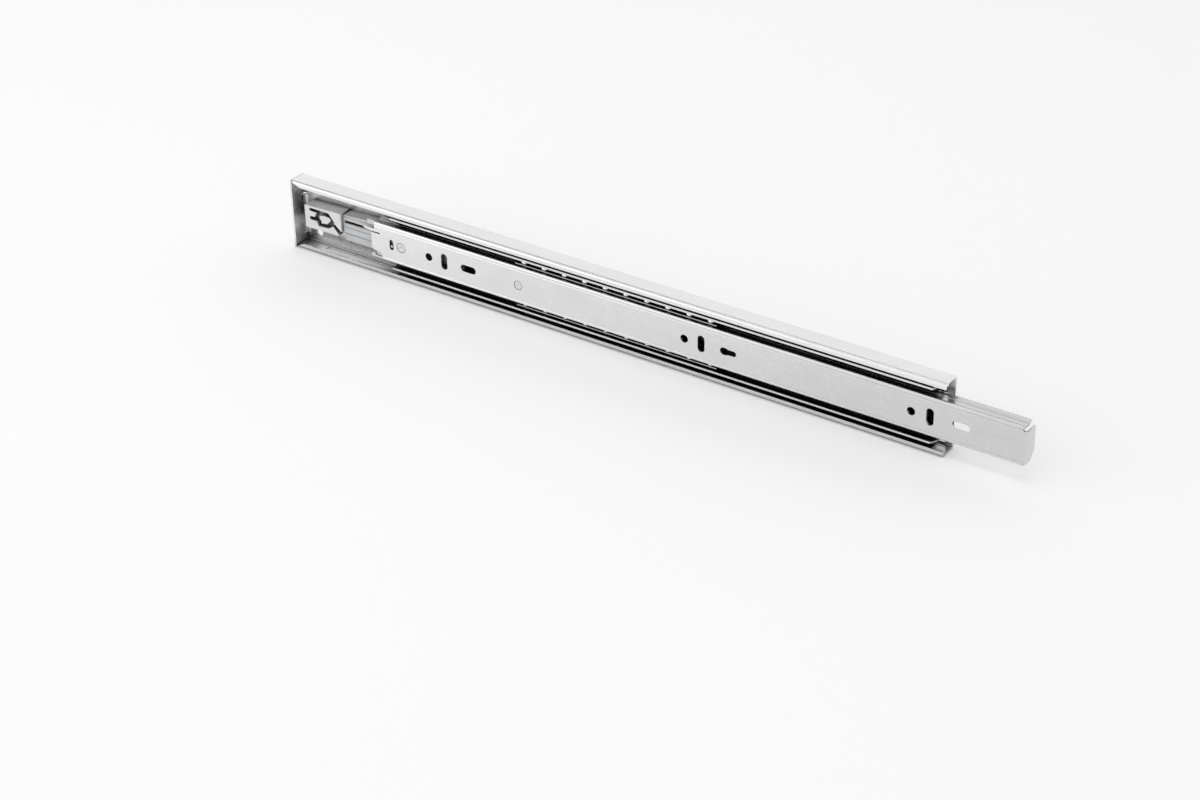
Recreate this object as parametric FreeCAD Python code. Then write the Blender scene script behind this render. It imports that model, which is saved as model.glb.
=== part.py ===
import FreeCAD, Part
import math
import os

# Cabinet drawer slide, three members, ball bearing, with a push-open latch at the rear.
# +X is the way the drawer opens, +Z is up, the cabinet face is y = 0 and the drawer is at -Y.
# Lengths below are from the cabinet member's rear end; origin_x moves them to the row's origin.

slide_length = 450.0
slide_height = 45.5
slide_depth = 12.7
origin_x = 246.05
steel = 1.2
bend = 1.2

# clearances
ball_gap = 0.10         # ball to raceway
web_gap = 1.0           # cabinet web to middle web
flange_gap = 1.2        # middle web to the ends of the drawer flanges
side_gap = 0.40         # latch tray to the drawer flanges
lever_gap = 0.35        # drawer web to lever
latch_gap = 0.45        # lever to cam block
plastic_gap = 0.30      # slider, tray and cage faces
key_gap = 0.15          # slider key to the sides of its slot
tray_gap = 0.20         # cam block to tray

# members
drawer_open = 48.8      # how far out the drawer member stands here
rear_inset = 13.2       # drawer member's rear edge when it is closed
middle_rear = 76.0
front_inset = 6.0       # middle member's front end inside the cabinet member's
lip_width = 3.45
lip_inset = 1.1         # edge of the middle lips behind the drawer face
tab_bend = 1.7          # outside radius of the drawer member's front tab
dent = 0.30             # depth of the grooves rolled in the middle and drawer flanges
wall_bend = 3.2         # inside radius where the web turns into the end wall
wall_high = 9.4
wall_low = -16.2
wall_relief = 0.7
wall_gap = 0.15         # end wall to the ends of the flanges
race_depth = 0.20       # depth of the raceways coined in the cabinet member

# ball rows
outer_ball_r = 2.275
inner_ball_r = 2.15
outer_ball_y = -5.3
inner_row_back = 4.1    # inner rows behind the drawer face
ball_pitch = 14.2
outer_cage_start = 116.0    # from the middle member's rear end
outer_cage_length = 133.5
inner_cage_start = 106.5    # from the drawer member's rear edge
inner_cage_length = 138.0
cage_inset = 0.4        # inner cage strips inside the line of the balls
strip = 0.5

# latch at the rear
block_x0 = 8.2
block_x1 = 36.4
tray_drop = 2.2         # tray face below the cam block's
shelf_drop = 1.0        # lower shelf below the tray face
slot_inset = 1.0        # tray slot from the cam block
slot_z = 2.9
slot_width = 2.0
key_length = 11.3
spring_room = 26.0      # tray beyond its slot
clip_x = 64.0           # square holes that hold the tray
clip_z = 13.4
pivot_back = 22.5       # lever pivot from the drawer member's rear edge
pin_back = 5.6          # follower pin from the same edge
pin_up = 2.6            # follower pin inside the drawer flange
stud_reach = 7.2        # lever stud from the pivot
stud_angle = 8.0        # below the line of the pivot, in degrees
stud_r = 0.8
stud_slot = 6.8
lever_thick = 0.5
clip_thick = 0.9
coil_out = 1.5          # outer radius of the spring
head_depth = 0.42       # rivet heads are sunk this far into the drawer face
pin_r = 0.8
stop_x = 170.9          # rivet of the catch block
stop_r = 1.6
stop_head = 2.6
pivot_r = 1.9
pivot_head = 3.0
ring_gap = 0.3          # round each rivet head

# places that follow from the sizes above
shell = slide_height / 2.0
lip_edge = shell - lip_width
middle_web = steel + web_gap
middle_front = slide_length - front_inset
middle_lip = slide_depth - lip_inset
drawer_front = slide_length + drawer_open
drawer_rear = rear_inset + drawer_open
drawer_flange_end = middle_web + steel + flange_gap
outer_race_z = shell - steel + race_depth
outer_ball_z = outer_race_z - ball_gap - outer_ball_r
middle_half = outer_ball_z - outer_ball_r - ball_gap + dent - steel / 2.0
middle_inner_z = middle_half - steel / 2.0 + dent
inner_ball_z = middle_inner_z - ball_gap - inner_ball_r
drawer_half = inner_ball_z - inner_ball_r - ball_gap + dent
inner_ball_y = inner_row_back - slide_depth
inner_cage_z = inner_ball_z - cage_inset
outer_cage_x0 = middle_rear + outer_cage_start
outer_cage_x1 = outer_cage_x0 + outer_cage_length
inner_cage_x0 = drawer_rear + inner_cage_start
inner_cage_x1 = inner_cage_x0 + inner_cage_length
lever_top = -slide_depth + steel + lever_gap
block_top = lever_top + lever_thick + latch_gap
tray_top = block_top + tray_drop
shelf_top = tray_top + shelf_drop
tray_side = drawer_half - steel - dent - side_gap
slot_x0 = block_x1 + slot_inset
slot_x1 = slot_x0 + drawer_open + key_length + plastic_gap + tray_gap
tray_x1 = slot_x1 + spring_room
pivot_x = drawer_rear + pivot_back
pin_x = drawer_rear + pin_back
pin_z = pin_up - drawer_half
spring_y = -steel - clip_thick - plastic_gap - coil_out
spring_z = slot_z + 0.4
spring_pin_x = tray_x1 - 3.0


def vec(x, y, z):
    return FreeCAD.Vector(x - origin_x, y, z)


def box(x0, x1, y0, y1, z0, z1):
    return Part.makeBox(x1 - x0, y1 - y0, z1 - z0, vec(x0, y0, z0))


def rod_y(x, z, r, y0, y1):
    return Part.makeCylinder(r, y1 - y0, vec(x, y0, z), FreeCAD.Vector(0, 1, 0))


def rod_z(x, y, r, z0, z1):
    return Part.makeCylinder(r, z1 - z0, vec(x, y, z0), FreeCAD.Vector(0, 0, 1))


def rounded(points, radii, closed):
    """Edges through points with each corner rounded by its radius (0 keeps it sharp)."""
    count = len(points)
    pts = [FreeCAD.Vector(*p) for p in points]
    cuts = []
    for i in range(count):
        p = pts[i]
        r = radii[i] if isinstance(radii, (list, tuple)) else radii
        if r <= 0 or (not closed and i in (0, count - 1)):
            cuts.append((p, None, p))
            continue
        a = (pts[i - 1] - p).normalize()
        b = (pts[(i + 1) % count] - p).normalize()
        half = a.getAngle(b) / 2.0
        reach = r / math.tan(half)
        mid_dir = (a + b).normalize()
        centre = p + mid_dir * (r / math.sin(half))
        cuts.append((p + a * reach, centre - mid_dir * r, p + b * reach))
    edges = []
    last = count if closed else count - 1
    for i in range(count):
        start, mid, end = cuts[i]
        if mid is not None:
            edges.append(Part.Arc(start, mid, end).toShape())
        if i < last:
            nxt = cuts[(i + 1) % count][0]
            if (nxt - end).Length > 1e-6:
                edges.append(Part.makeLine(end, nxt))
    return edges


def plate(points, y0, y1, r=0.0):
    """A plate from an outline in X and Z, between two values of y."""
    flat = [(x - origin_x, y0, z) for x, z in points]
    wire = Part.Wire(rounded(flat, r, True))
    return Part.Face(wire).extrude(FreeCAD.Vector(0, y1 - y0, 0))


def slot_cut(x, z, length, width, y0, y1, upright=False):
    half = (length - width) / 2.0
    r = width / 2.0
    if upright:
        body = box(x - r, x + r, y0, y1, z - half, z + half)
        ends = ((x, z - half), (x, z + half))
    else:
        body = box(x - half, x + half, y0, y1, z - r, z + r)
        ends = ((x - half, z), (x + half, z))
    for ex, ez in ends:
        body = body.fuse(rod_y(ex, ez, r, y0, y1))
    return body


def offset_line(points, shift):
    """Points of a YZ polyline moved sideways by shift, corner by corner."""
    moved = []
    for i, p in enumerate(points):
        dirs = []
        if i > 0:
            q = points[i - 1]
            size = math.hypot(p[0] - q[0], p[1] - q[1])
            dirs.append(((p[0] - q[0]) / size, (p[1] - q[1]) / size))
        if i < len(points) - 1:
            q = points[i + 1]
            size = math.hypot(q[0] - p[0], q[1] - p[1])
            dirs.append(((q[0] - p[0]) / size, (q[1] - p[1]) / size))
        normals = [(-d[1], d[0]) for d in dirs]
        if len(normals) == 1:
            n = normals[0]
            moved.append((p[0] + n[0] * shift, p[1] + n[1] * shift))
            continue
        bx = normals[0][0] + normals[1][0]
        by = normals[0][1] + normals[1][1]
        size = math.hypot(bx, by)
        bx = bx / size
        by = by / size
        scale = shift / (bx * normals[0][0] + by * normals[0][1])
        moved.append((p[0] + bx * scale, p[1] + by * scale))
    return moved


def corner_turn(points, i):
    a = (points[i][0] - points[i - 1][0], points[i][1] - points[i - 1][1])
    b = (points[i + 1][0] - points[i][0], points[i + 1][1] - points[i][1])
    return a[0] * b[1] - a[1] * b[0]


def sheet(points, radii, t, x0, x1):
    """A bent strip of thickness t along X; points are its centre line in Y and Z."""
    left = offset_line(points, t / 2.0)
    right = offset_line(points, -t / 2.0)
    left_r = [0.0] * len(points)
    right_r = [0.0] * len(points)
    for i in range(1, len(points) - 1):
        if radii[i] <= 0:
            continue
        turn = corner_turn(points, i)
        inside = max(radii[i] - t / 2.0, 0.15)
        left_r[i] = inside if turn > 0 else radii[i] + t / 2.0
        right_r[i] = radii[i] + t / 2.0 if turn > 0 else inside
    outline = left + right[::-1]
    outline_r = left_r + right_r[::-1]
    flat = [(x0 - origin_x, y, z) for y, z in outline]
    wire = Part.Wire(rounded(flat, outline_r, True))
    return Part.Face(wire).extrude(FreeCAD.Vector(x1 - x0, 0, 0))


def mirrored_path(half_path, half_radii):
    """Half a section from its free edge to the middle, completed below z = 0."""
    low = [(y, -z) for y, z in half_path[::-1]]
    return half_path + low, half_radii + half_radii[::-1]


def yz_prism(points, x0, x1):
    flat = [vec(x0, y, z) for y, z in points]
    face = Part.Face(Part.makePolygon(flat + [flat[0]]))
    return face.extrude(FreeCAD.Vector(x1 - x0, 0, 0))


def xy_prism(points, z0, z1):
    flat = [vec(x, y, z0) for x, y in points]
    face = Part.Face(Part.makePolygon(flat + [flat[0]]))
    return face.extrude(FreeCAD.Vector(0, 0, z1 - z0))


def wedge_cut(x0, x1, y0, y1, z_in, z_out):
    """A triangular prism along Y that trims a corner between x0 and x1."""
    flat = [(x0, z_in), (x1, z_out), (x0, z_out)]
    return plate(flat, y0, y1)


def both(shape):
    return [shape, shape.mirror(FreeCAD.Vector(0, 0, 0), FreeCAD.Vector(0, 0, 1))]


def save(shape, node):
    if len(shape.Solids) == 1:
        shape = shape.Solids[0].removeSplitter()
    shape.exportStep("parts/" + node + ".step")


def row_of_balls(x0, count, y, z, r):
    return Part.makeCompound([Part.makeSphere(r, vec(x0 + i * ball_pitch, y, z)) for i in range(count)])


def ball_places(x0, x1):
    count = int((x1 - x0 - 4.0) // ball_pitch) + 1
    start = (x0 + x1) / 2.0 - (count - 1) * ball_pitch / 2.0
    return start, count


def bayonet(x):
    """The slots, the opening and the hole of a spring tongue in the cabinet web."""
    y0, y1 = -steel - 1.0, 1.0
    wide = plate([(x, -9.6), (x + 35.9, -9.6), (x + 35.9, -7.4), (x, -7.4)], y0, y1, 0.7)
    narrow = slot_cut(x + 15.6, 8.8, 31.2, 1.7, y0, y1)
    narrow_end = rod_y(x + 1.0, 8.8, 1.15, y0, y1)
    mouth = plate([(x + 30.5, -9.6), (x + 35.9, -9.6), (x + 35.9, 9.65), (x + 30.5, 9.65)], y0, y1, 1.0)
    hub = rod_y(x + 23.2, 0.0, 3.4, y0, y1)
    return [wide, narrow, narrow_end, mouth, hub]


def opening(x0, x1, z0, z1, r):
    return plate([(x0, z0), (x1, z0), (x1, z1), (x0, z1)], -steel - 1.0, 1.0, r)


def outer_member():
    edge = -slide_depth + steel / 2.0
    top = shell - steel / 2.0
    half = [(edge, lip_edge), (edge, top), (-steel / 2.0, top)]
    path, radii = mirrored_path(half, [0.0, bend, bend])
    body = sheet(path, radii, steel, 0.0, slide_length)
    # rear end wall, bent from the web between two reliefs, and the lips trimmed towards it
    wall = plate([(0.0, -shell), (steel, -shell), (steel, shell), (0.0, shell)], -slide_depth, -steel / 2.0)
    inside = steel + wall_bend
    corner = box(steel - 0.1, inside, -inside, 0.1 - steel, wall_low, wall_high)
    corner = corner.cut(rod_z(inside, -inside, wall_bend, wall_low - 1.0, wall_high + 1.0))
    outer_corner = box(-0.5, inside, -inside, 0.5, wall_low, wall_high)
    outer_corner = outer_corner.cut(rod_z(inside, -inside, inside, wall_low - 1.0, wall_high + 1.0))
    for piece in both(wedge_cut(-0.1, 9.0, -slide_depth - 0.5, -slide_depth + steel + 0.3, shell - 0.15,
                                lip_edge - 0.8)):
        body = body.cut(piece)
    for piece in both(box(-1.0, steel + wall_gap, -slide_depth - 1.0, -2.6, shell - steel - bend, shell + 1.0)):
        body = body.cut(piece)
    body = body.fuse(wall).fuse(corner).cut(outer_corner)
    for z0, z1 in ((wall_high, wall_high + wall_relief), (wall_low - wall_relief, wall_low)):
        body = body.cut(box(-1.0, inside, -inside, 1.0, z0, z1))
    cuts = []
    y0, y1 = -steel - 1.0, 1.0
    end = slide_length
    tongue = tray_x1 + 13.1
    for x in (tongue, end - 133.1, end - 61.8):
        cuts += bayonet(x)
    cuts.append(rod_y(tongue + 5.8, 0.0, 2.25, y0, y1))
    for x in (end - 128.1, end - 56.8):
        cuts.append(slot_cut(x, 0.0, 8.6, 4.6, y0, y1))
    for x in (tongue + 54.8, end - 149.8):
        cuts.append(rod_y(x, 0.0, 2.3, y0, y1))
    for x in (tongue + 90.7, end - 78.4):
        cuts.append(slot_cut(x, 0.0, 10.0, 4.6, y0, y1))
    cuts.append(rod_y(end - 7.9, 0.0, 2.7, y0, y1))
    # window that shows the ejector, clip opening and the bow-shaped opening in front of the tray
    cuts.append(opening(slot_x0 + 9.9, tray_x1 - 12.8, -7.2, 7.2, 1.2))
    cuts.append(opening(tray_x1 - 7.6, tray_x1 - 1.8, -2.6, 2.6, 0.6))
    bow = [(3.8, 6.4), (3.8, 1.8), (5.0, 1.2), (5.0, -1.2), (3.8, -1.8), (3.8, -6.4),
                (9.4, -6.4), (7.9, -2.2), (7.6, 0.0), (7.9, 2.2), (9.4, 6.4)]
    cuts.append(plate([(tray_x1 + x, z) for x, z in bow], y0, y1, 0.3))
    stop_z = shell - 5.55
    for side in (-1, 1):
        cuts.append(rod_y(block_x0 + 3.0, side * (shell - 7.75), 2.25, y0, y1))
        z = side * clip_z
        cuts.append(opening(clip_x - 3.0, clip_x + 3.0, z - 2.75, z + 2.75, 0.5))
        z = side * stop_z
        cuts.append(opening(end - 10.4, end - 4.2, z - 3.2, z + 3.2, 0.5))
    for cut in cuts:
        body = body.cut(cut)
    # retainer stops lanced from the web at the front
    for piece in both(box(end - 11.1, end - 9.9, outer_ball_y + 0.1, -0.3, stop_z + 0.7, stop_z + 3.0)):
        body = body.fuse(piece)
    # coined raceways inside the flanges
    mid = outer_ball_y
    floor = outer_race_z
    race = [(mid - 1.7, floor - 0.25), (mid - 1.4, floor), (mid + 1.4, floor), (mid + 1.7, floor - 0.25)]
    for piece in both(yz_prism(race, 20.0, slide_length + 1.0)):
        body = body.cut(piece)
    return body


def middle_member():
    y_lip = -middle_lip
    half = [(y_lip, middle_half), (y_lip + 0.9, middle_half), (y_lip + 1.5, middle_half + dent),
            (inner_ball_y + 1.3, middle_half + dent), (inner_ball_y + 2.0, middle_half - dent),
            (-middle_web - steel / 2.0, middle_half - dent)]
    path, radii = mirrored_path(half, [0.0, 0.8, 0.8, 0.8, 0.8, 0.9])
    body = sheet(path, radii, steel, middle_rear, middle_front)
    # rear opening that straddles the latch, and slanted front ends of the lips
    half_open, x_open = drawer_half + 0.8, tray_x1 + 4.5
    rear = plate([(middle_rear - 4.0, -half_open), (x_open, -half_open), (x_open, half_open),
                  (middle_rear - 4.0, half_open)], -middle_web - steel - 0.3, 0.0, 2.0)
    body = body.cut(rear)
    end = middle_front + 0.1
    slant = [(end, -middle_lip - 0.1), (end, -middle_lip + 5.0), (middle_front - 2.4, -middle_lip - 0.1)]
    body = body.cut(xy_prism(slant, -shell, shell))
    # rear stop ears that meet the outer retainers, front lances that meet the inner one
    ear = box(middle_rear + 0.8, middle_rear + 2.0, outer_ball_y - 2.5, outer_ball_y + 1.5,
              middle_half, shell - 2.35)
    front = middle_front
    low, high = drawer_half + 1.0, middle_half - 1.1
    lance = box(front - 6.0, front - 4.8, inner_ball_y + 1.2, -middle_web - 0.3, low + 0.15, high - 0.3)
    hole = plate([(front - 4.8, low), (front - 1.0, low), (front - 1.0, high), (front - 4.8, high)],
                 -middle_web - steel - 0.5, -middle_web + 0.5)
    for piece in both(hole):
        body = body.cut(piece)
    for piece in both(ear) + both(lance):
        body = body.fuse(piece)
    return body


def drawer_member():
    y_web = -slide_depth + steel / 2.0
    z_fl = drawer_half - steel / 2.0
    half = [(-drawer_flange_end, z_fl + 0.7), (-drawer_flange_end - 0.6, z_fl + 0.7),
            (-drawer_flange_end - 1.6, z_fl), (inner_ball_y + 1.3, z_fl), (inner_ball_y + 1.0, z_fl - dent),
            (inner_ball_y - 1.0, z_fl - dent), (inner_ball_y - 1.3, z_fl), (y_web, z_fl),
            (y_web, z_fl - 1.1), (y_web + 0.28, z_fl - 1.6), (y_web, z_fl - 2.2)]
    path, radii = mirrored_path(half, [0.0, 0.0, 0.8, 0.0, 0.0, 0.0, 0.0, 0.75, 0.0, 0.0, 0.0])
    body = sheet(path, radii, steel, drawer_rear - 6.0, drawer_front - steel)
    y0, y1 = -slide_depth - 1.0, -slide_depth + steel + 1.0
    deep = (-slide_depth - 1.0, -2.0)
    # rear edge: tongue, relief slit, web edge and the lower corner notch
    rear, over, low = drawer_rear, drawer_half + 1.8, -drawer_half
    cut_top = box(rear - 12.0, rear + 2.6, deep[0], deep[1], 7.5, over)
    cut_mid = plate([(rear - 12.0, -over), (rear, -over), (rear, 4.8), (rear + 6.6, 4.8), (rear + 6.6, 5.7),
                     (rear - 0.5, 5.5), (rear - 5.8, 6.6), (rear - 5.8, 7.6), (rear - 12.0, 7.6)],
                    deep[0], deep[1])
    notch = plate([(rear - 7.0, -over), (rear + 4.0, -over), (rear + 7.6, low + 0.2), (rear + 7.6, low + 3.9),
                   (rear + 6.4, low + 4.9), (rear + 1.4, low + 5.4), (rear - 0.5, low + 6.6),
                   (rear - 7.0, low + 6.6)], deep[0], deep[1])
    lower = box(rear - 12.0, rear + 8.6, deep[0], deep[1], -over, low + 1.3)
    for cut in (cut_top, cut_mid, notch, lower):
        body = body.cut(cut)
    front = drawer_front
    cuts = [slot_cut(front - 39.0, 0.0, 11.0, 4.6, y0, y1), slot_cut(front - 183.9, 0.0, 10.5, 3.4, y0, y1),
            slot_cut(front - 186.3, 0.0, 5.8, 4.6, y0, y1), slot_cut(rear + 72.7, 0.0, 11.0, 4.6, y0, y1),
            slot_cut(pivot_x - stud_reach, 0.0, stud_slot, 3.0, y0, y1, True),
            rod_y(stop_x, 0.0, stop_r, y0, y1), rod_y(stop_x, 0.0, stop_head + ring_gap, y0, head_depth - slide_depth),
            rod_y(pivot_x, 0.0, pivot_r, y0, y1), rod_y(pivot_x, 0.0, pivot_head + ring_gap, y0, head_depth - slide_depth)]
    for x in (front - 57.3, front - 201.7, rear + 54.9):
        cuts.append(slot_cut(x, 0.0, 10.5, 4.6, y0, y1, True))
    for x in (front - 68.7, front - 212.9, rear + 43.5):
        cuts.append(rod_y(x, 0.0, 2.5, y0, y1))
    for cut in cuts:
        body = body.cut(cut)
    # front tab bent towards the cabinet, with its trimmed corner and relief
    foot, head, inner = low + 2.0, drawer_half - 2.6, 0.6 - drawer_flange_end
    tab = box(front - steel, front, -slide_depth, inner, foot, head)
    tab = tab.cut(yz_prism([(inner + 0.1, foot - 0.1), (inner - 4.6, foot - 0.1), (inner + 0.1, foot + 4.8)],
                           front - 3.0, front + 3.0))
    relief = [box(front - 2.0, front + 1, -slide_depth - 1, inner + 2.0, head, over),
              rod_y(front - 2.2, head + 0.4, 0.8, y0, y1),
              box(front - 2.0, front + 1, -slide_depth - 1, inner + 2.0, -over, foot - 0.6)]
    link = box(front - 2.4, front - steel + 0.1, -slide_depth, -slide_depth + steel, foot, head)
    body = body.fuse(link)
    for cut in relief:
        body = body.cut(cut)
    turn_x, turn_y = front - tab_bend, tab_bend - slide_depth
    corner = box(turn_x, front + 0.5, -slide_depth - 0.5, turn_y, foot - 0.5, head + 0.5)
    corner = corner.cut(rod_z(turn_x, turn_y, tab_bend, foot - 1.0, head + 1.0))
    return body.fuse(tab).cut(corner)


def outer_cage(side):
    y0, y1 = outer_ball_y - 3.1, outer_ball_y + 2.9
    z = outer_ball_z
    body = box(outer_cage_x0, outer_cage_x1, y0, y1, z - strip / 2.0, z + strip / 2.0)
    lip = box(outer_cage_x0, outer_cage_x1, y1 - strip, y1, z - 1.3, z)
    body = body.fuse(lip)
    start, count = ball_places(outer_cage_x0, outer_cage_x1)
    for i in range(count):
        body = body.cut(rod_z(start + i * ball_pitch, outer_ball_y, outer_ball_r + 0.08, z - 3.0, z + 3.0))
    for i in range(count - 1):
        x = start + (i + 0.5) * ball_pitch
        body = body.cut(box(x - 2.0, x + 2.0, y0 - 0.1, y0 + 1.5, z - 1.0, z + 1.0))
    return body if side > 0 else both(body)[1]


def inner_cage():
    edge = -middle_lip + 0.1
    y_web = -middle_web - steel - plastic_gap - strip / 2.0
    half = [(edge, inner_cage_z), (y_web, inner_cage_z)]
    path, radii = mirrored_path(half, [0.0, 0.6])
    body = sheet(path, radii, strip, inner_cage_x0, inner_cage_x1)
    start, count = ball_places(inner_cage_x0, inner_cage_x1)
    for i in range(count):
        x = start + i * ball_pitch
        body = body.cut(rod_z(x, inner_ball_y, inner_ball_r + 0.06, -shell, shell))
    for i in range(count - 1):
        x = start + (i + 0.5) * ball_pitch
        for piece in both(box(x - 2.9, x + 2.9, edge + 0.7, edge + 3.6, inner_cage_z - 1.0, inner_cage_z + 1.0)):
            body = body.cut(piece)
    mid = (inner_cage_x0 + inner_cage_x1) / 2.0
    for x in (mid - 45.0, mid, mid + 45.0):
        body = body.cut(slot_cut(x, 0.0, 30.0, 14.0, y_web - 1.0, y_web + 1.0))
    return body


def cam_block():
    top = block_top
    outline = [(block_x0, -7.6), (33.4, -7.2), (block_x1, -5.9), (block_x1, 8.3), (32.8, 8.3), (block_x0, 7.3)]
    body = plate(outline, top, -steel, 0.5)
    floor = top + 3.4
    pocket = [(18.6, 6.2), (26.9, 6.3), (31.3, 0.9), (29.6, -2.2), (26.3, -4.3), (18.4, -4.8), (17.2, -1.9),
              (15.8, -1.5), (15.8, 0.9), (17.0, 3.6), (17.4, 4.3)]
    body = body.cut(plate(pocket, top - 1.0, floor, 0.5))
    body = body.cut(slot_cut(16.4, 5.2, 9.0, 2.1, top - 1.0, floor))
    body = body.cut(slot_cut(15.6, -0.5, 7.4, 2.5, top - 1.0, floor))
    way = [(29.6, -1.4), (31.4, 0.2), (37.0, -4.6), (37.0, -7.4), (35.0, -7.4)]
    body = body.cut(plate(way, top - 1.0, floor))
    island = [(19.6, 2.5), (23.2, 3.4), (27.6, 2.9), (28.3, 1.4), (25.2, -1.7), (20.4, -2.4), (20.9, -0.9),
              (19.4, 0.4)]
    body = body.fuse(plate(island, top + 0.3, floor + 0.2, 0.35))
    # pocket underneath leaves walls of even thickness
    under = plate([(10.2, -5.6), (34.0, -5.6), (34.0, 5.9), (10.2, 5.9)], floor + 1.2, -steel + 1.0, 0.8)
    body = body.cut(under)
    for x in (17.0, 26.5):
        body = body.fuse(box(x, x + 1.2, floor + 1.0, -steel, -5.8, 6.1))
    return body


def ejector_tray():
    x0 = block_x1 + tray_gap
    z_top, z_step, z_low = tray_side - 1.7, 5.9 - tray_side, -tray_side
    upper = plate([(x0, z_step), (tray_x1, z_step), (tray_x1, z_top), (60.0, z_top), (x0, z_top - 1.5)],
                  tray_top, -steel, 0.4)
    shelf = plate([(x0, z_low), (tray_x1, z_low), (tray_x1, z_step + 0.6), (x0, z_step + 0.6)],
                  shelf_top, -steel, 0.4)
    body = upper.fuse(shelf)
    inner = plate([(x0 + 1.4, z_step + 0.6), (tray_x1 - 1.4, z_step + 0.6), (tray_x1 - 1.4, z_top - 1.3),
                   (60.0, z_top - 1.3), (x0 + 1.4, z_top - 2.7)], tray_top + 1.2, -steel + 1.0, 0.6)
    low = plate([(x0 + 1.4, z_low + 1.2), (tray_x1 - 1.4, z_low + 1.2), (tray_x1 - 1.4, z_step - 0.6),
                 (x0 + 1.4, z_step - 0.6)], shelf_top + 1.2, -steel + 1.0, 0.6)
    body = body.cut(inner).cut(low)
    low_z, high_z = slot_z - slot_width / 2.0, slot_z + slot_width / 2.0
    slot = plate([(slot_x0, low_z), (slot_x1, low_z), (slot_x1, high_z), (slot_x0, high_z)],
                 tray_top - 1.0, tray_top + 2.0, 0.5)
    body = body.cut(slot)
    # shallow grooves that leave the top in strips
    for z0, z1, top in ((z_top - 2.6, z_top - 2.1, tray_top), (-1.0, -0.5, tray_top),
                        (z_step - 1.5, z_step - 0.8, shelf_top)):
        body = body.cut(box(x0 - 1.0, tray_x1 - 6.0, top - 1.0, top + 0.3, z0, z1))
    body = body.fuse(box(x0 + 1.0, tray_x1 - 1.0, tray_top + 1.0, tray_top + 2.8, slot_z - 4.2, slot_z - 3.4))
    # ears with the barbs of the two square holes
    for side in (-1, 1):
        wall = -z_low - 0.6 if side < 0 else z_top - 0.6
        ear = box(clip_x - 3.6, clip_x + 3.6, -steel - 1.0, -steel, wall, clip_z + 2.6)
        barb = box(clip_x - 2.4, clip_x + 0.2, -steel - 0.4, -0.35, clip_z - 1.9, clip_z + 1.9)
        hold = ear.fuse(barb)
        body = body.fuse(hold if side > 0 else both(hold)[1])
    # front clip and the bosses of the anchor pin
    body = body.fuse(box(tray_x1 - 7.2, tray_x1 - 2.2, -steel - clip_thick, -0.35, -2.0, 2.0))
    body = body.fuse(box(tray_x1 - 8.4, tray_x1 - 0.6, -steel - clip_thick, -steel, -3.6, 3.6))
    body = body.fuse(box(tray_x1 - 5.0, tray_x1 - 1.0, tray_top + 1.0, -steel, slot_z + 2.4, z_top - 0.6))
    body = body.fuse(box(tray_x1 - 5.0, tray_x1 - 1.0, tray_top + 1.0, -steel, slot_z - 3.6, slot_z - 2.0))
    return body.cut(rod_z(spring_pin_x, spring_y, 0.55, slot_z - 3.0, slot_z + 4.0))


def spring_pin():
    return rod_z(spring_pin_x, spring_y, 0.55, slot_z - 3.0, slot_z + 4.0)


def ejector_slider():
    x1 = slot_x1 - plastic_gap
    x0 = x1 - key_length
    half = slot_width / 2.0 - key_gap
    foot, crown = slot_z - 2.0, slot_z + 2.7
    head = plate([(x0 + 0.6, foot), (x1 - 0.2, foot), (x1 + 1.8, foot + 1.3), (x1 + 1.8, crown - 1.2),
                  (x1 - 0.2, crown), (x0 + 0.6, crown)], tray_top - 1.9, tray_top - key_gap, 0.5)
    key = box(x0, x1, tray_top - 0.3, tray_top + 1.6, slot_z - half, slot_z + half)
    wing = box(x0 + 1.2, x1, tray_top + 1.4, tray_top + 2.4, slot_z - 2.6, slot_z + 2.6)
    arm = box(x1 - 4.0, x1 + 1.7, tray_top + 2.3, spring_y + 0.7, spring_z - 1.5, spring_z - 0.45)
    post = rod_z(x1 + 0.9, spring_y, 0.5, spring_z - 0.6, spring_z + 0.9)
    return head.fuse(key).fuse(wing).fuse(arm).fuse(post)


def wire_leg(start, end, r):
    reach = end - start
    leg = Part.makeCylinder(r * 0.94, reach.Length, start, reach)
    return leg.fuse(Part.makeSphere(r * 1.12, end))


def ejector_spring():
    wire = 0.25
    coil_r = coil_out - wire
    ring_r = 0.95
    post_x = slot_x1 - plastic_gap + 0.9
    x0, x1 = post_x + 2.4, spring_pin_x - 2.4
    pitch = (x1 - x0) / 18.0
    helix = Part.makeHelix(pitch, x1 - x0, coil_r)
    ring = Part.makeCircle(wire, FreeCAD.Vector(coil_r, 0, 0), FreeCAD.Vector(0, 1, 0))
    coil = Part.Wire(helix).makePipeShell([Part.Wire(ring)], True, True)
    turn = FreeCAD.Rotation(FreeCAD.Vector(0, 1, 0), 90)
    coil.Placement = FreeCAD.Placement(vec(x0, spring_y, spring_z), turn)
    body = coil
    for centre, side, end in ((post_x, 1.0, x0), (spring_pin_x, -1.0, x1)):
        hook = Part.makeTorus(ring_r, wire, vec(centre, spring_y, spring_z), FreeCAD.Vector(0, 0, 1))
        near = vec(centre + side * ring_r, spring_y, spring_z)
        body = body.fuse(hook.fuse(wire_leg(near, vec(end, spring_y, spring_z - coil_r), wire)))
    return body


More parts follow.
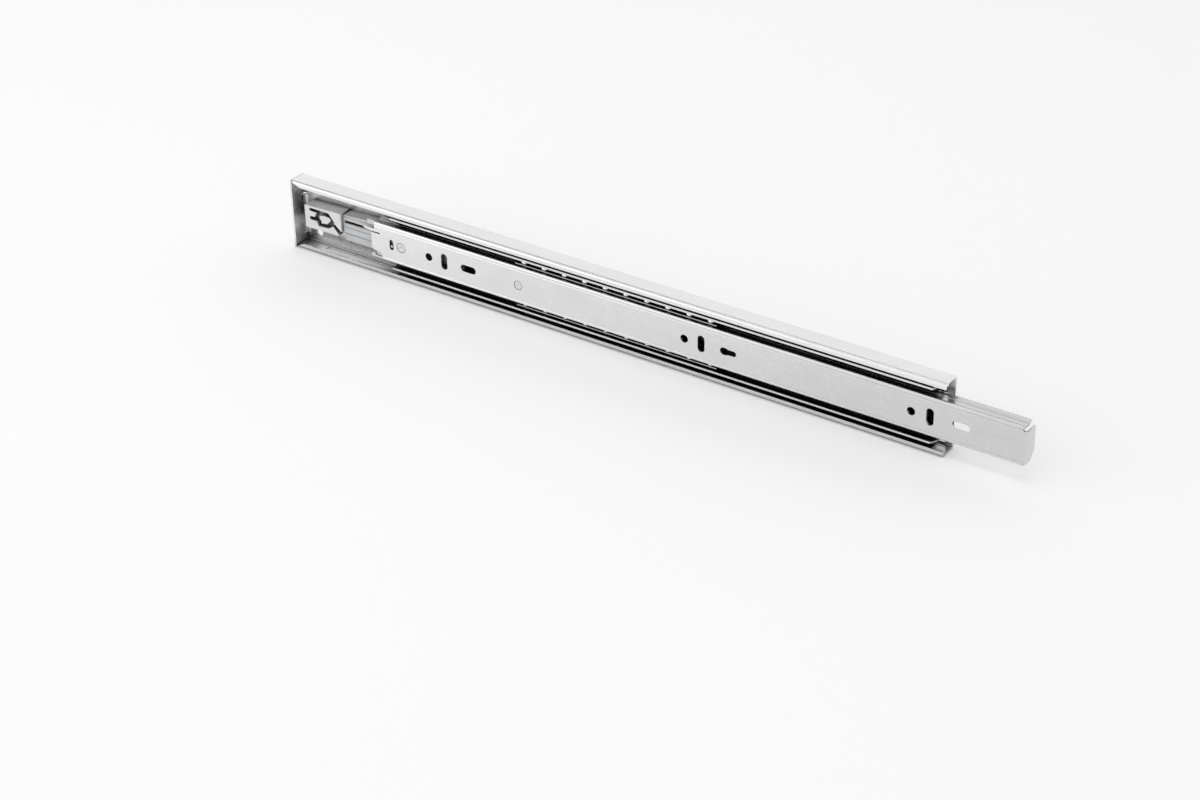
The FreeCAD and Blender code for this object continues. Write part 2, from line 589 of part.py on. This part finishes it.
def follower_lever():
    y0, y1 = lever_top, lever_top + lever_thick
    hub, tip = pivot_x, pin_x
    outline = [(hub + 4.1, -2.0), (hub + 4.1, 2.0), (hub + 2.1, 4.2), (hub - 2.1, 4.2), (hub - 9.6, 1.2),
               (tip - 1.6, pin_z + 3.0), (tip - 3.4, pin_z + 1.0), (tip - 2.8, pin_z - 0.9),
               (tip + 1.6, pin_z - 0.9), (hub - 8.9, pin_z + 2.2), (hub - 2.5, -4.2), (hub + 2.1, -4.2)]
    body = plate(outline, y0, y1, 0.7)
    body = body.cut(rod_y(pivot_x, 0.0, pivot_r + 0.08, y0 - 1.0, y1 + 1.0))
    body = body.cut(rod_y(pin_x, pin_z, pin_r - 0.2, y0 - 1.0, y1 + 1.0))
    sx, sz = stud_place()
    return body.cut(rod_y(sx, sz, stud_r - 0.2, y0 - 1.0, y1 + 1.0))


def stud_place():
    angle = math.radians(stud_angle)
    return pivot_x - stud_reach * math.cos(angle), -stud_reach * math.sin(angle)


def lever_stud():
    sx, sz = stud_place()
    shaft = rod_y(sx, sz, stud_r, -slide_depth + 0.15, lever_top)
    stem = rod_y(sx, sz, stud_r - 0.2, lever_top, lever_top + lever_thick)
    return shaft.fuse(stem)


def follower_pin():
    shaft = rod_y(pin_x, pin_z, pin_r, lever_top + lever_thick, tray_top - 0.2)
    stem = rod_y(pin_x, pin_z, pin_r - 0.2, lever_top, lever_top + lever_thick)
    head = rod_y(pin_x, pin_z, 0.95, lever_top - 0.2, lever_top)
    return shaft.fuse(stem).fuse(head)


def rivet(x, r_shank, r_head, y_tail, r_tail):
    face = 0.02 - slide_depth
    seat = head_depth - slide_depth
    head = rod_y(x, 0.0, r_head, face, seat)
    rim = [e for e in head.Edges if abs(e.BoundBox.YMax - face) < 1e-4 and e.BoundBox.XLength > 1.0]
    head = head.makeFillet(0.2, rim)
    dimple = Part.makeSphere(r_shank, vec(x, face - r_shank + 0.45, 0.0))
    body = head.fuse(rod_y(x, 0.0, r_shank, seat - 0.05, y_tail)).cut(dimple)
    return body.fuse(rod_y(x, 0.0, r_tail, y_tail - 0.2, y_tail))


def catch_block():
    x = stop_x
    body = plate([(x - 8.0, -4.6), (x + 6.0, -4.6), (x + 8.0, -2.6), (x + 8.0, 2.6), (x + 6.0, 4.6),
                  (x - 8.0, 4.6)], -slide_depth + steel, -slide_depth + steel + 2.6, 0.8)
    return body.cut(rod_y(x, 0.0, stop_r + 0.02, -slide_depth, -slide_depth + steel + 3.0))


def rear_bumpers():
    y0, y1 = -slide_depth + steel, -slide_depth + 4.8
    rear, half = drawer_rear, drawer_half
    upper = plate([(rear - 3.6, half - 3.0), (rear + 2.6, half - 3.0), (rear + 2.6, half), (rear - 3.6, half)],
                  y0, y1)
    lower = plate([(rear - 1.6, -half), (rear + 8.6, -half), (rear + 8.6, 1.25 - half),
                   (rear + 1.8, 1.25 - half), (rear + 1.2, 2.4 - half), (rear - 1.6, 2.4 - half)], y0, y1)
    rims = [[e for e in s.Edges if e.BoundBox.YLength < 0.01 and abs(e.BoundBox.YMin - y0) < 0.01
             and e.BoundBox.XMax + origin_x < rear + 2.0] for s in (upper, lower)]
    return Part.makeCompound([s.makeChamfer(0.3, rim) for s, rim in zip((upper, lower), rims)])


os.makedirs("parts", exist_ok=True)
save(outer_member(), "outer_member")
save(middle_member(), "intermediate_member")
save(drawer_member(), "inner_member")
for side, word in ((1, "top"), (-1, "bottom")):
    save(outer_cage(side), "outer_cage_" + word)
    start, count = ball_places(outer_cage_x0, outer_cage_x1)
    save(row_of_balls(start, count, outer_ball_y, side * outer_ball_z, outer_ball_r), "outer_balls_" + word)
    start, count = ball_places(inner_cage_x0, inner_cage_x1)
    save(row_of_balls(start, count, inner_ball_y, side * inner_ball_z, inner_ball_r), "inner_balls_" + word)
save(inner_cage(), "inner_cage")
save(cam_block(), "cam_block")
save(ejector_tray(), "ejector_tray")
save(ejector_slider(), "ejector_slider")
save(spring_pin(), "spring_pin")
save(follower_lever(), "follower_lever")
save(lever_stud(), "lever_stud")
save(follower_pin(), "follower_pin")
save(rivet(pivot_x, pivot_r, pivot_head, lever_top + lever_thick + 0.25, 2.5), "pivot_rivet")
save(rivet(stop_x, stop_r, stop_head, -slide_depth + steel + 2.85, 2.4), "stop_rivet")
save(catch_block(), "catch_block")
save(ejector_spring(), "ejector_spring")
save(rear_bumpers(), "rear_bumpers")
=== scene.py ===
import bpy
from mathutils import Matrix, Vector


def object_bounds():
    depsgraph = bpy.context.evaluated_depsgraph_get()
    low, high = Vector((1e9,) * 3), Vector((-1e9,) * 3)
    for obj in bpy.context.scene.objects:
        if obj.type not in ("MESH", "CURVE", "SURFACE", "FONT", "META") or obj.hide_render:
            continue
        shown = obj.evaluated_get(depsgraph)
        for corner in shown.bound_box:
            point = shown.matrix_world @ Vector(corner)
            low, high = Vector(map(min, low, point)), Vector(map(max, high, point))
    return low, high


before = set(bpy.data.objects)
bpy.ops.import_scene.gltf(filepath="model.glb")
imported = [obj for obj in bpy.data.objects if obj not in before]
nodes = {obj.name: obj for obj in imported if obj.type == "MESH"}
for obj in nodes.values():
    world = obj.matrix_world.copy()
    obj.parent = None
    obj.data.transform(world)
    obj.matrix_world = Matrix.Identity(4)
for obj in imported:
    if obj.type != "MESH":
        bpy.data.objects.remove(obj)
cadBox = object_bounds()
print("drawer slide: frame loaded,", len(nodes), "pieces")


def newMaterial(name):
    material = bpy.data.materials.new(name)
    material.use_nodes = True
    tree = material.node_tree
    return material, tree, tree.nodes["Principled BSDF"]


def grey(level):
    return (level, level, level)


def scaled(colour, factor, most=1.0):
    return tuple(min(part * factor, most) for part in colour)


def shifted(stretch, x, y, z):
    # a slightly different stretch gives each piece its own pattern
    return (stretch[0] + x, stretch[1] + y, stretch[2] + z)


def objectPlace(tree, stretch=(1.0, 1.0, 1.0)):
    coords = tree.nodes.new("ShaderNodeTexCoord")
    mapping = tree.nodes.new("ShaderNodeMapping")
    mapping.inputs["Scale"].default_value = stretch
    tree.links.new(coords.outputs["Object"], mapping.inputs["Vector"])
    return mapping.outputs["Vector"]


def noise(tree, stretch, detail=4.0, rough=0.55):
    node = tree.nodes.new("ShaderNodeTexNoise")
    node.inputs["Scale"].default_value = 1.0
    node.inputs["Detail"].default_value = detail
    node.inputs["Roughness"].default_value = rough
    tree.links.new(objectPlace(tree, stretch), node.inputs["Vector"])
    return node.outputs["Fac"]


def remap(tree, value, low, high, outLow, outHigh):
    node = tree.nodes.new("ShaderNodeMapRange")
    node.inputs["From Min"].default_value = low
    node.inputs["From Max"].default_value = high
    node.inputs["To Min"].default_value = outLow
    node.inputs["To Max"].default_value = outHigh
    tree.links.new(value, node.inputs["Value"])
    return node.outputs["Result"]


def feed(tree, socket, value):
    if isinstance(value, bpy.types.NodeSocket):
        tree.links.new(value, socket)
    else:
        socket.default_value = (*value, 1.0) if isinstance(value, tuple) else value


def mixColour(tree, factor, first, second, blend="MIX"):
    node = tree.nodes.new("ShaderNodeMix")
    node.data_type = "RGBA"
    node.blend_type = blend
    feed(tree, node.inputs[0], factor)
    feed(tree, node.inputs[6], first)
    feed(tree, node.inputs[7], second)
    return node.outputs[2]


def maths(tree, operation, first, second=0.0):
    node = tree.nodes.new("ShaderNodeMath")
    node.operation = operation
    feed(tree, node.inputs[0], first)
    feed(tree, node.inputs[1], second)
    return node.outputs[0]


def placeAlong(tree, axis):
    split = tree.nodes.new("ShaderNodeSeparateXYZ")
    tree.links.new(objectPlace(tree), split.inputs["Vector"])
    return split.outputs[axis]


highlightEdge = {"samples": 4, "flat": 1.0, "round": 0.75}


def softEdge(tree, radius):
    # painted edge highlight: a lighter colour where the rounded normal leaves the flat one
    bevel = tree.nodes.new("ShaderNodeBevel")
    bevel.samples = highlightEdge["samples"]
    bevel.inputs["Radius"].default_value = radius
    geometry = tree.nodes.new("ShaderNodeNewGeometry")
    dot = tree.nodes.new("ShaderNodeVectorMath")
    dot.operation = "DOT_PRODUCT"
    tree.links.new(bevel.outputs["Normal"], dot.inputs[0])
    tree.links.new(geometry.outputs["Normal"], dot.inputs[1])
    edgeHighlight = remap(tree, dot.outputs["Value"], highlightEdge["flat"], highlightEdge["round"], 0.0, 1.0)
    return edgeHighlight, bevel.outputs["Normal"]


def bump(tree, height, strength, depth, normal):
    node = tree.nodes.new("ShaderNodeBump")
    node.inputs["Strength"].default_value = strength
    node.inputs["Distance"].default_value = depth
    tree.links.new(height, node.inputs["Height"])
    tree.links.new(normal, node.inputs["Normal"])
    return node.outputs["Normal"]


hollowSamples = 8


def occlusionShade(tree, reach, low, high, outLow, outHigh):
    # painted shade: how far a spot is hidden by the walls around it, as a factor that darkens the colour
    node = tree.nodes.new("ShaderNodeAmbientOcclusion")
    node.samples = hollowSamples
    node.inputs["Distance"].default_value = reach
    return remap(tree, node.outputs["AO"], low, high, outLow, outHigh)


# what all the plated steel pieces share; stretches are noise cells per metre along X, Y and Z,
# and a piece's own dictionary replaces what it repeats
plating = {"slow": (9.0, 30.0, 30.0), "slowShare": 0.55, "mottle": (90.0, 120.0, 120.0), "mottleShare": 0.45,
           "patch": (0.36, 0.64), "blot": (420.0, 420.0, 420.0), "blotRange": (0.62, 0.76), "blotDepth": 0.14,
           "blotTone": 0.90, "rolled": (60.0, 5200.0, 5200.0), "edgeHighlightTone": 1.12, "palest": 0.97,
           "creaseReach": 0.0016, "creaseRange": (0.62, 0.97), "creaseDepth": 0.55, "creaseShadeTone": 0.25,
           "hollowShadeTone": 0.06, "roughRange": (0.35, 0.65), "smoother": 0.05, "rougher": 0.06,
           "mottleHeight": 0.18, "bumpStrength": 0.22, "bumpDepth": 0.00002,
           "edge": 0.0001, "reach": 0.010, "hidden": 0.12, "open": 0.80, "floorLevel": 0.0}


def paintedShadeAlong(tree, colour, fade):
    # painted light and shade: the colour is lighter at the rear and slowly darker towards the front
    paintedShadeLevel = remap(tree, placeAlong(tree, "X"), fade["from"], fade["to"], fade["rear"], fade["front"])
    shadeOf = tree.nodes.new("ShaderNodeCombineColor")
    for socket in ("Red", "Green", "Blue"):
        tree.links.new(paintedShadeLevel, shadeOf.inputs[socket])
    return mixColour(tree, 1.0, colour, shadeOf.outputs["Color"], "MULTIPLY")


def platedSteel(name, own):
    look = {**plating, **own}
    material, tree, shader = newMaterial(name)
    tone = grey(look["tone"])
    seed = look["seed"]
    edgeHighlight, rounded = softEdge(tree, look["edge"])
    slow = noise(tree, shifted(look["slow"], seed, 0.0, 0.0), 3.0)
    mottle = noise(tree, shifted(look["mottle"], 0.0, seed, 0.0), 5.0, 0.62)
    blot = noise(tree, shifted(look["blot"], 0.0, 0.0, seed), 3.0)
    rolled = noise(tree, look["rolled"], 2.0)  # rolling lines along the strip
    patches = maths(tree, "ADD", maths(tree, "MULTIPLY", slow, look["slowShare"]),
                    maths(tree, "MULTIPLY", mottle, look["mottleShare"]))
    level = remap(tree, patches, *look["patch"], 0.0, 1.0)
    colour = mixColour(tree, level, scaled(tone, 1.0 - look["cloud"]), tone)
    blotted = remap(tree, blot, *look["blotRange"], 0.0, look["blotDepth"])
    colour = mixColour(tree, blotted, colour, scaled(tone, look["blotTone"]))
    # painted edge highlight: rounded edges get a lighter colour
    colour = mixColour(tree, edgeHighlight, colour, scaled(tone, look["edgeHighlightTone"], look["palest"]))
    if "fade" in look:
        colour = paintedShadeAlong(tree, colour, look["fade"])
    # painted shade: the colour is darkened in tight creases where the walls hide the spot
    creaseShade = occlusionShade(tree, look["creaseReach"], *look["creaseRange"], look["creaseDepth"], 0.0)
    colour = mixColour(tree, creaseShade, colour, scaled(tone, look["creaseShadeTone"]))
    # painted shade: the colour darkens toward the hollow shade tone where walls hide the spot
    lit = occlusionShade(tree, look["reach"], look["hidden"], look["open"], look["floorLevel"], 1.0)
    if "cleanAndUnshaded" in look:  # the painted shade is lifted on the outer side of the lips, above a given height
        cleanAndUnshaded = look["cleanAndUnshaded"]
        lipStart = cleanAndUnshaded["above"] - cleanAndUnshaded["band"]
        lipShadeLift = remap(tree, placeAlong(tree, "Z"), lipStart, cleanAndUnshaded["above"], 0.0, cleanAndUnshaded["level"])
        lit = maths(tree, "MAXIMUM", lit, lipShadeLift)
    colour = mixColour(tree, lit, scaled(tone, look["hollowShadeTone"]), colour)
    tree.links.new(colour, shader.inputs["Base Color"])
    shader.inputs["Metallic"].default_value = 1.0
    smooth, rough = look["roughness"] - look["smoother"], look["roughness"] + look["rougher"]
    tree.links.new(remap(tree, mottle, *look["roughRange"], smooth, rough), shader.inputs["Roughness"])
    height = maths(tree, "ADD", maths(tree, "MULTIPLY", rolled, look["grain"]),
                   maths(tree, "MULTIPLY", mottle, look["mottleHeight"]))
    grained = bump(tree, height, look["bumpStrength"], look["bumpDepth"], rounded)
    tree.links.new(grained, shader.inputs["Normal"])
    return material


# what all the moulded plastic pieces share
moulding = {"edge": 0.00018, "fine": (2600.0, 2600.0, 2600.0), "slow": (160.0, 160.0, 160.0),
            "patch": (0.36, 0.64), "dullTone": 0.93, "paleTone": 1.2, "paleLift": 0.02, "paleShare": 0.6,
            "hollowShadeTone": 0.06, "roughRange": (0.3, 0.7), "smoother": 0.06, "rougher": 0.08,
            "bumpStrength": 0.25, "bumpDepth": 0.00002, "ior": 1.48,
            "reach": 0.006, "hidden": 0.12, "open": 0.60}


def mouldedPlastic(name, own):
    look = {**moulding, **own}
    material, tree, shader = newMaterial(name)
    tone = look["tone"]
    seed = look["seed"]
    edgeHighlight, rounded = softEdge(tree, look["edge"])
    fine = noise(tree, shifted(look["fine"], 0.0, seed, 0.0), 3.0)
    slow = noise(tree, shifted(look["slow"], 0.0, 0.0, seed), 3.0)
    level = remap(tree, slow, *look["patch"], 0.0, 1.0)
    colour = mixColour(tree, level, scaled(tone, look["dullTone"]), tone)
    # painted edge highlight: rounded edges of the plastic get a paler colour
    pale = tuple(min(part * look["paleTone"] + look["paleLift"], 1.0) for part in tone)
    colour = mixColour(tree, maths(tree, "MULTIPLY", edgeHighlight, look["paleShare"]), colour, pale)
    # painted shade: the plastic darkens toward the hollow shade tone where walls hide the spot
    lit = occlusionShade(tree, look["reach"], look["hidden"], look["open"], 0.0, 1.0)
    colour = mixColour(tree, lit, scaled(tone, look["hollowShadeTone"]), colour)
    tree.links.new(colour, shader.inputs["Base Color"])
    smooth, rough = look["roughness"] - look["smoother"], look["roughness"] + look["rougher"]
    tree.links.new(remap(tree, fine, *look["roughRange"], smooth, rough), shader.inputs["Roughness"])
    grained = bump(tree, fine, look["bumpStrength"], look["bumpDepth"], rounded)
    tree.links.new(grained, shader.inputs["Normal"])
    shader.inputs["IOR"].default_value = look["ior"]
    return material


def polishedBalls(name, look):
    material, tree, shader = newMaterial(name)
    film = noise(tree, look["film"])
    oiled = remap(tree, film, *look["oilRange"], 0.0, 1.0)
    tree.links.new(mixColour(tree, oiled, look["cleanAndUnshaded"], look["oiled"]), shader.inputs["Base Color"])
    tree.links.new(remap(tree, film, *look["roughRange"], *look["roughness"]), shader.inputs["Roughness"])
    shader.inputs["Metallic"].default_value = 1.0
    return material


def dress(material, *names):
    for name in names:
        nodes[name].data.materials.clear()
        nodes[name].data.materials.append(material)


outerMember = {"tone": 0.86, "cloud": 0.07, "roughness": 0.28, "grain": 0.8, "seed": 0.0, "edge": 0.00022,
               "reach": 0.012, "floorLevel": 0.05}
dress(platedSteel("zincSteelCabinet", outerMember), "outer_member")

# its band above the lips lifts the painted shade there
intermediateMember = {"tone": 0.80, "cloud": 0.08, "roughness": 0.27, "grain": 0.8, "seed": 3.0,
                      "edge": 0.00022,
                      "hidden": 0.34, "open": 0.92, "cleanAndUnshaded": {"above": 0.0168, "band": 0.0004, "level": 0.62}}
dress(platedSteel("zincSteelMiddle", intermediateMember), "intermediate_member")

# its fade paints light at the rear and shade towards the front
innerMember = {"tone": 0.80, "cloud": 0.06, "roughness": 0.25, "grain": 0.8, "seed": 7.0, "edge": 0.00022,
               "reach": 0.008, "fade": {"from": -0.18, "to": 0.25, "rear": 1.10, "front": 0.84}}
dress(platedSteel("zincSteelDrawer", innerMember), "inner_member")

cageStrip = {"tone": 0.55, "cloud": 0.12, "roughness": 0.30, "grain": 0.5, "seed": 11.0}
dress(platedSteel("cageSteel", cageStrip), "outer_cage_top", "outer_cage_bottom", "inner_cage")

bearingBalls = {"film": (900.0, 900.0, 900.0), "cleanAndUnshaded": (0.86, 0.86, 0.87), "oiled": (0.70, 0.695, 0.68),
                "oilRange": (0.4, 0.65), "roughRange": (0.35, 0.7), "roughness": (0.06, 0.20)}
dress(polishedBalls("ballSteel", bearingBalls),
      "outer_balls_top", "outer_balls_bottom", "inner_balls_top", "inner_balls_bottom")
print("drawer slide: members, cages and balls dressed")

latchBlock = {"tone": (0.72, 0.73, 0.735), "roughness": 0.38, "seed": 0.0, "reach": 0.005,
              "hidden": 0.42, "open": 0.88}
dress(mouldedPlastic("latchBlockPlastic", latchBlock), "cam_block")

latchTray = {"tone": (0.56, 0.57, 0.58), "roughness": 0.40, "seed": 5.0, "reach": 0.010,
             "hidden": 0.22, "open": 0.50}
dress(mouldedPlastic("latchTrayPlastic", latchTray), "ejector_tray")

ejectorSlider = {"tone": (0.025, 0.025, 0.027), "roughness": 0.42, "seed": 9.0}
dress(mouldedPlastic("sliderPlastic", ejectorSlider), "ejector_slider")

ejectorSpring = {"tone": 0.57, "cloud": 0.10, "roughness": 0.28, "grain": 0.3, "seed": 23.0}
dress(platedSteel("springSteel", ejectorSpring), "ejector_spring")

turnedPin = {"tone": 0.70, "cloud": 0.06, "roughness": 0.25, "grain": 0.3, "seed": 13.0}
dress(platedSteel("pinSteel", turnedPin), "spring_pin", "lever_stud", "follower_pin")

followerLever = {"tone": 0.66, "cloud": 0.08, "roughness": 0.33, "grain": 0.5, "seed": 17.0}
dress(platedSteel("leverSteel", followerLever), "follower_lever")

headedRivet = {"tone": 0.80, "cloud": 0.08, "roughness": 0.30, "grain": 0.3, "seed": 19.0, "edge": 0.0002}
dress(platedSteel("rivetSteel", headedRivet), "pivot_rivet", "stop_rivet")

catchBlock = {"tone": (0.10, 0.10, 0.105), "roughness": 0.45, "seed": 13.0}
dress(mouldedPlastic("catchPlastic", catchBlock), "catch_block")

rearBumpers = {"tone": (0.62, 0.63, 0.63), "roughness": 0.42, "seed": 17.0}
dress(mouldedPlastic("bumperPlastic", rearBumpers), "rear_bumpers")
print("drawer slide: latch and rivets dressed")

view = {"lens": 81.0, "sensor": 36.0, "nearest": 0.01, "place": (0.75771, -1.10998, 0.75211),
        "right": (0.82305792, 0.56760236, -0.02008041), "down": (0.27927311, -0.43524279, -0.85590318),
        "forward": (-0.49455252, 0.69884997, -0.5167461)}
cameraData = bpy.data.cameras.new("studyCamera")
cameraData.lens = view["lens"]
cameraData.sensor_width = view["sensor"]
cameraData.clip_start = view["nearest"]
camera = bpy.data.objects.new("studyCamera", cameraData)
bpy.context.scene.collection.objects.link(camera)
turn = Matrix((Vector(view["right"]), -Vector(view["down"]), -Vector(view["forward"]))).transposed()
camera.matrix_world = Matrix.Translation(view["place"]) @ turn.to_4x4()
bpy.context.scene.camera = camera

studioFloor = {"size": 8.0, "below": 0.0002, "tone": 0.93, "glow": 0.16, "roughness": 0.9}
floorHeight = cadBox[0][2] - studioFloor["below"]
bpy.ops.mesh.primitive_plane_add(size=studioFloor["size"], location=(0.0, 0.0, floorHeight))
floor = bpy.context.object
floor.name = "studioFloor"
floorMaterial, tree, shader = newMaterial("studioFloor")
shader.inputs["Base Color"].default_value = (*grey(studioFloor["tone"]), 1.0)
shader.inputs["Roughness"].default_value = studioFloor["roughness"]
shader.inputs["Emission Color"].default_value = (1.0, 1.0, 1.0, 1.0)
shader.inputs["Emission Strength"].default_value = studioFloor["glow"]
floor.data.materials.append(floorMaterial)

# pale tent with a dark ring high up, which the rounded bends pick up as a thin line
studioTent = {"strength": 1.0, "ringLow": 0.70, "ringHigh": 0.98, "ringSoft": 0.6, "ringDepth": 0.92,
              "dark": 0.03}
world = bpy.data.worlds.new("studioTent")
world.use_nodes = True
tent = world.node_tree
way = tent.nodes.new("ShaderNodeTexCoord")
split = tent.nodes.new("ShaderNodeSeparateXYZ")
tent.links.new(way.outputs["Generated"], split.inputs["Vector"])
lift = remap(tent, split.outputs["Z"], studioTent["ringLow"], studioTent["ringHigh"], -1.0, 1.0)
ring = maths(tent, "SUBTRACT", 1.0, maths(tent, "ABSOLUTE", lift))
ringShade = remap(tent, ring, 0.0, studioTent["ringSoft"], 0.0, studioTent["ringDepth"])
tentColour = mixColour(tent, ringShade, grey(1.0), grey(studioTent["dark"]))
tent.links.new(tentColour, tent.nodes["Background"].inputs["Color"])
tent.nodes["Background"].inputs["Strength"].default_value = studioTent["strength"]
bpy.context.scene.world = world


def areaLight(name, look):
    data = bpy.data.lights.new(name, "AREA")
    data.shape = "RECTANGLE"
    data.size, data.size_y = look["size"]
    data.energy = look["watts"]
    light = bpy.data.objects.new(name, data)
    bpy.context.scene.collection.objects.link(light)
    aim = -Vector(look["place"])
    light.matrix_world = Matrix.Translation(look["place"]) @ aim.to_track_quat("-Z", "Y").to_matrix().to_4x4()


softboxAbove = {"place": (-0.3, -0.4, 1.6), "size": (1.8, 1.2), "watts": 5.0}
softboxLeft = {"place": (-1.4, -1.4, 0.6), "size": (1.2, 1.2), "watts": 3.0}
areaLight("softboxAbove", softboxAbove)
areaLight("softboxLeft", softboxLeft)
bpy.context.scene.view_settings.view_transform = "Standard"
print("drawer slide: camera, floor and light set")

print("drawer slide: ready")
